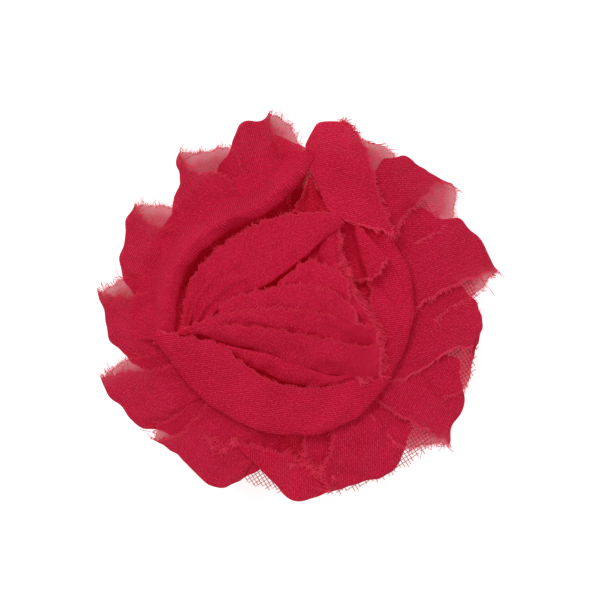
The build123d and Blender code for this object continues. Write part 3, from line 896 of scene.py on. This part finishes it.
# ---------------------------------------- net, felt and glue
def net_backing():
    """Crossed threads over the whole disc, cut unevenly: some run on past the last crossing."""
    rng = np.random.default_rng(90)
    low, high = box_mm("net_backing")
    centre, radius = (low + high) / 2, (high[0] - low[0]) / 2
    threads = []
    for direction in (0, 1):
        for offset in np.arange(-radius + 0.3, radius, NET_PITCH):
            reach = math.sqrt(radius * radius - offset * offset) + rng.uniform(-0.5, 0.8)
            count = max(4, int(reach * 2 / NET_STEP))
            along = np.linspace(-reach, reach, count)
            across = offset + rng.normal(0, 0.03, count)
            z = centre[2] + (NET_YARN if direction else -NET_YARN) + rng.normal(0, 0.01, count)
            u, v = (along, across) if direction == 0 else (across, along)
            x = u * math.cos(NET_TURN) - v * math.sin(NET_TURN) + centre[0]
            y = u * math.sin(NET_TURN) + v * math.cos(NET_TURN) + centre[1]
            threads.append(np.stack([x, y, z], -1))
    points, faces = tubes(threads, NET_YARN)
    piece = new_mesh("net_backing_mesh", points, faces, NET_MATERIAL, smooth=False)
    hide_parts("net_backing")


def closed_piece(name, grid, material):
    """A piece whose grid goes all the way round."""
    faces = grid_faces(*grid.shape[:2], closed=True)
    return new_mesh(name, grid.reshape(-1, 3), faces, material, uv=grid[..., :2].reshape(-1, 2))


def turned(name, profile, material, seed, wobble, node):
    """A round piece from a (radius, height) profile, with an uneven edge."""
    rng = np.random.default_rng(seed)
    turn = np.linspace(0, math.tau, TURN_STEPS, endpoint=False)
    edge = 1 + wobble * sum(np.sin(k * turn + rng.uniform(0, 7)) / k for k in (2, 3, 5, 9, 14))
    # straight from point to point: a smooth curve would swing out past its corners
    corners = np.array(profile, float)
    gone = np.concatenate([[0.0], np.cumsum(np.linalg.norm(np.diff(corners, axis=0), axis=1))])
    at = np.unique(np.concatenate([np.linspace(0, gone[-1], 40), gone]))
    radius = np.interp(at, gone, corners[:, 0])[:, None] * edge
    height = np.repeat(np.interp(at, gone, corners[:, 1])[:, None], TURN_STEPS, 1)
    grid = np.stack([radius * np.cos(turn), radius * np.sin(turn), height], -1)
    grid[1:-1, :, 2] += rng.normal(0, 0.004, grid[1:-1, :, 2].shape)
    piece = closed_piece(name, grid, material)
    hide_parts(node)
    return piece


def felt_pad():
    low, high = box_mm("felt_pad")
    r = (high[0] - low[0]) / 2
    z0, z1 = low[2] + FACE_GAP, high[2] - FACE_GAP
    corner = [(0.4, 0.0), (0.15, 0.08), (0.03, 0.28)]  # how far in from the rim, and from the face
    profile = [(CENTRE, z1), *((r - x, z1 - z) for x, z in corner), (r, (z0 + z1) / 2)]
    profile += [*((r - x, z0 + z) for x, z in reversed(corner)), (CENTRE, z0)]
    pad = turned("felt_pad_fleece", profile, FELT, 91, 0.003, "felt_pad")
    rng = np.random.default_rng(92)
    fibres = []
    for _ in range(FIBRES):  # fuzz round the cut edge
        turn, z = rng.uniform(0, math.tau), rng.uniform(z0 + 0.05, z1 - 0.05)
        out = np.array((math.cos(turn), math.sin(turn), 0.0))
        side = np.array((-out[1], out[0], 0.0))
        root = out * (r - 0.12) + (0, 0, z)
        reach = rng.uniform(0.2, 0.75)
        sway = side * rng.normal(0, 0.5) + UP * rng.normal(0, 0.3)
        fibres.append([root + (out * x + sway * x * x) * reach for x in (0.0, 0.5, 1.0)])
    points, faces = tubes(fibres, FIBRE)
    fuzz = new_mesh("felt_pad_fuzz", points, faces, FELT, smooth=False)


def glue_bed():
    low, high = box_mm("clip_glue")
    middle, half = (low + high) / 2, (high - low) / 2
    rng = np.random.default_rng(93)
    turn = np.linspace(0, math.tau, 120, endpoint=False)
    circle = np.stack([np.cos(turn), np.sin(turn)], -1)
    edge = np.sign(circle) * np.abs(circle) ** 0.22  # nearly a rectangle
    swell = 1 + 0.03 * sum(np.sin(k * turn + rng.uniform(0, 7)) for k in (3, 5, 8))[:, None]
    rows = []
    for share, height in GLUE_PROFILE:
        flat = edge * swell * share * (half[:2] - 0.15)
        rows.append(np.column_stack([flat + middle[:2], np.full(len(turn), middle[2] + half[2] * height)]))
    bed = closed_piece("clip_glue_bed", np.stack(rows), GLUE)
    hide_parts("clip_glue")


def pad_glue():
    low, high = box_mm("pad_glue")
    r = (high[0] - low[0]) / 2
    z0, z1 = low[2] + FACE_GAP, high[2] - FACE_GAP
    profile = [(CENTRE, z0), (r * 0.97, z0), (r * 0.98, (z0 + z1) / 2), (r * 0.97, z1), (CENTRE, z1)]
    turned("pad_glue_disc", profile, GLUE, 94, 0.008, "pad_glue")


def backing_stitches():
    high = box_mm("backing_stitches")[1]
    ring, top = high[0] - 0.2, high[2] + 0.1
    rng = np.random.default_rng(95)
    stitches = []
    for k in range(STITCHES):
        turn = math.tau * k / STITCHES + rng.normal(0, 0.006)
        half = 1.15 / ring * rng.uniform(0.85, 1.05)
        r = ring + rng.normal(0, 0.1)
        for strand in (-0.09, 0.09):
            arc = []
            for x in np.linspace(-1, 1, 9):
                angle, drop = turn + half * x, (1 - x**4) * 0.16
                arc.append(((r + strand) * math.cos(angle), (r + strand) * math.sin(angle), top - drop))
            stitches.append(arc)
    points, faces = tubes(stitches, STITCH_YARN, sides=6)
    piece = new_mesh("backing_stitches_thread", points, faces, SEWING_THREAD)
    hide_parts("backing_stitches")


# ---------------------------------------- ribbon and spring
def ribbon_lining():
    low, high = box_mm("ribbon_lining")
    glue_end = box_mm("clip_glue")[1][0]
    half = RIBBON_THICK / 2
    inner, outer, tip = low[2] + half, high[2] - half, high[0] - half
    run = np.linspace(low[0], tip - BEND, 160)
    back = np.linspace(tip - BEND, glue_end, 90)
    bend = np.linspace(-math.pi / 2, math.pi / 2, 16)[1:-1]
    middle = (inner + outer) / 2
    path = [(x, inner) for x in run]
    path += [(tip - BEND + BEND * math.cos(a), middle + (outer - inner) / 2 * math.sin(a)) for a in bend]
    path += [(x, outer) for x in back]
    path = np.array(path)
    gone = np.concatenate([[0], np.cumsum(np.linalg.norm(np.diff(path, axis=0), axis=1))])
    ahead = np.gradient(path, axis=0)
    ahead /= np.linalg.norm(ahead, axis=1, keepdims=True)
    out = np.column_stack([-ahead[:, 1], ahead[:, 0]])
    rib = np.abs(np.sin(gone * math.pi / RIB_PITCH)) ** 0.7 * RIB_HEIGHT
    across = np.linspace(-1, 1, RIBBON_STEPS) * ((high[1] - low[1]) / 2 - 0.05)
    faces_of_tape = []
    for side in (1, -1):
        x, z = (path + out * (side * (half - 0.07 + rib))[:, None]).T
        y = np.tile(across, (len(path), 1))
        x, z = (np.repeat(v[:, None], RIBBON_STEPS, 1) for v in (x, z))
        faces_of_tape.append(np.stack([x, y, z], -1))
    upper, lower = faces_of_tape
    grid = np.concatenate([upper, lower[:, ::-1]], axis=1)
    faces = grid_faces(*grid.shape[:2], closed=True)
    uv = np.stack([np.repeat(gone[:, None], 2 * RIBBON_STEPS, 1), grid[..., 1]], -1)
    piece = new_mesh("ribbon_lining_grosgrain", grid.reshape(-1, 3), faces, RIBBON, uv=uv.reshape(-1, 2))
    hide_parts("ribbon_lining")


def torsion_spring():
    """A close coil round the pin. One leg lies along each arm's thumb tab."""
    joint = frame["joints"][0]
    pivot = np.array(joint["pos_m"]) / MM
    low, high = box_mm("torsion_spring")
    y0, y1 = low[1] + WIRE / 2, high[1] - WIRE / 2
    coil = []
    for x in even(150):
        a = math.tau * COIL_TURNS * x
        around = COIL_RADIUS * math.sin(a), COIL_RADIUS * math.cos(a)
        coil.append((pivot[0] + around[0], y0 + (y1 - y0) * x, pivot[2] + around[1]))
    foot_x = low[0] + 0.1
    base_foot = (foot_x, y0, high[2] - WIRE / 2)
    jaw_foot = (foot_x, y1, low[2] + WIRE / 2)

    def leg(a, b, shares):
        return [np.array(a) * (1 - share) + np.array(b) * share for share in shares]

    line = [base_foot, *leg(base_foot, coil[0], (0.3, 0.6, 0.9)), *coil]
    line += leg(coil[-1], jaw_foot, (0.1, 0.4, 0.7, 1.0))
    points, faces = tubes([line], WIRE / 2, sides=12)
    count = len(line)
    first = [k * count for k in range(12)]
    faces += [tuple(first), tuple(k + count - 1 for k in reversed(first))]
    piece = new_mesh("torsion_spring_coil", points, faces, SPRING_STEEL, body=None)
    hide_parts("torsion_spring")
    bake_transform(piece)


def metal(name, colour, roughness, scratch_scale):
    n = Nodes(name)
    place = n.object_place()
    scale = (scratch_scale * 0.06, scratch_scale, scratch_scale)
    stretched = n.add("Mapping", {"Vector": place, "Scale": scale}).outputs[0]
    brushed = n.noise(stretched, 1.0, 6.0, 0.7)
    smudge = n.noise(place, 260.0, 4.0)
    rough = n.plus(n.times(smudge, 0.25), roughness - 0.1)
    tone = n.blend(smudge, [c * 0.85 for c in colour[:3]] + [1.0], colour)
    bump = n.bump(brushed, 0.25, 0.00003)
    return n.output(n.principled(tone, rough, Metallic=1.0, Normal=bump))


def soft_material(name, colour, dark, scale, bump_height, sheen):
    n = Nodes(name)
    place = n.object_place()
    fleck = n.noise(place, scale, 5.0, 0.75)
    large = n.noise(place, 180.0, 2.0)
    tone = n.blend(n.times(n.plus(fleck, large), 0.5), dark, colour)
    bump = n.bump(fleck, 0.6, bump_height)
    return n.output(n.principled(tone, 0.9, Normal=bump, Sheen_Weight=sheen, Specular_IOR_Level=0.15))


def glue_material():
    n = Nodes("hot_glue")
    place = n.object_place()
    lumps = n.noise(place, 420.0, 2.0)
    bump = n.bump(lumps, 0.3, 0.0002)
    tone = n.blend(lumps, (0.80, 0.78, 0.68, 1.0), (0.92, 0.91, 0.85, 1.0))
    return n.output(n.principled(tone, 0.18, Transmission_Weight=0.55, IOR=1.47, Normal=bump))


NET_PITCH, NET_YARN, NET_TURN = 0.55, 0.08, math.radians(32)
NET_STEP = 1.2  # distance between the points of one thread
TURN_STEPS = 160
FACE_GAP = 0.02  # how far a turned piece stays inside the faces of its CAD box
CENTRE = 0.01  # radius at which its faces close
FIBRES, FIBRE = 900, 0.018  # number and radius of the felt's loose fibres
# Across the edge of the glue bed: share of its width, and of half its height from its middle.
GLUE_PROFILE = [
    (0.02, -0.96), (0.9, -0.96), (0.985, -0.5), (1.0, 0.1), (0.97, 0.7), (0.9, 0.96), (0.02, 0.96),
]
STITCHES, STITCH_YARN = 40, 0.1
RIBBON_THICK, RIB_PITCH, RIB_HEIGHT, RIBBON_STEPS = 0.45, 0.75, 0.05, 15
BEND = 0.5  # how far before the tip the ribbon begins to bend round it
WIRE, COIL_TURNS, COIL_RADIUS = 0.6, 4.5, 1.6
NET_MATERIAL = yarn_material("net_yarn", (0.88, 0.38, 0.37, 1.0), 0.0)
FELT = soft_material(
    "felt", (0.52, 0.014, 0.045, 1.0), (0.36, 0.006, 0.02, 1.0), 1400.0, 0.0003, 0.25
)
RIBBON = soft_material(
    "grosgrain", (0.50, 0.012, 0.042, 1.0), (0.38, 0.006, 0.022, 1.0), 2200.0, 0.00006, 0.15
)
SEWING_THREAD = soft_material(
    "sewing_thread", (0.55, 0.016, 0.05, 1.0), (0.40, 0.008, 0.028, 1.0), 2600.0, 0.00005, 0.2
)
GLUE = glue_material()
STEEL = metal("nickel_steel", (0.74, 0.73, 0.71, 1.0), 0.26, 9000.0)
SPRING_STEEL = metal("spring_steel", (0.55, 0.55, 0.56, 1.0), 0.32, 5000.0)

net_backing()
felt_pad()
pad_glue()
glue_bed()
backing_stitches()
ribbon_lining()
torsion_spring()
for node in ("clip_base_arm", "clip_jaw_arm", "hinge_pin"):
    frame["nodes"][node].data.materials[0] = STEEL


# ---------------------------------------- stage
FLOOR_SIZE, FLOOR_WHITE, FLOOR_GLOW = 1.5, (0.93, 0.93, 0.93, 1.0), 0.55
LIT_POINT = (0, 0, 0.015)  # what both lights point at
VIEW_X, VIEW_Y, VIEW_WIDTH = 0.0004, 0.0010, 0.09624  # the middle and width of the view at the petals


def floor_material():
    n = Nodes("floor")
    glow = {"Emission_Color": (1.0, 1.0, 1.0, 1.0), "Emission_Strength": FLOOR_GLOW}
    return n.output(n.principled(FLOOR_WHITE, 0.9, **glow))


def floor():
    mesh = bpy.data.meshes.new("floor")
    corners = [(x * FLOOR_SIZE, y * FLOOR_SIZE, 0) for x, y in ((-1, -1), (1, -1), (1, 1), (-1, 1))]
    mesh.from_pydata(corners, [], [(0, 1, 2, 3)])
    mesh.materials.append(floor_material())
    ground = bpy.data.objects.new("floor", mesh)
    bpy.context.scene.collection.objects.link(ground)


def area_light(name, place, size, power):
    lamp = bpy.data.lights.new(name, "AREA")
    lamp.shape, lamp.size, lamp.energy = "DISK", size, power
    holder = bpy.data.objects.new(name, lamp)
    holder.location = place
    away = np.array(place) - np.array(LIT_POINT)
    holder.rotation_mode = "QUATERNION"
    holder.rotation_quaternion = Vector(away).to_track_quat("Z", "Y")
    bpy.context.scene.collection.objects.link(holder)


def camera():
    """Straight above the flower, as in the photograph."""
    lens = bpy.data.cameras.new("camera")
    lens.lens, lens.sensor_width = 150.0, 36.0
    view = bpy.data.objects.new("camera", lens)
    view.location = (VIEW_X, VIEW_Y, NET_TOP * MM + VIEW_WIDTH * lens.lens / lens.sensor_width)
    lens.clip_start, lens.clip_end = 0.01, 10.0
    bpy.context.scene.collection.objects.link(view)
    bpy.context.scene.camera = view


floor()
area_light("key", (-0.25, 0.35, 0.7), 0.45, 2.9)
area_light("fill", (0.3, -0.2, 0.8), 0.7, 1.65)
camera()
world = bpy.data.worlds.new("studio")
world.use_nodes = True
colour, strength = world.node_tree.nodes["Background"].inputs[:2]
colour.default_value, strength.default_value = (1.0, 1.0, 1.0, 1.0), 0.4
bpy.context.scene.world = world
bpy.context.scene.view_settings.view_transform = "Standard"
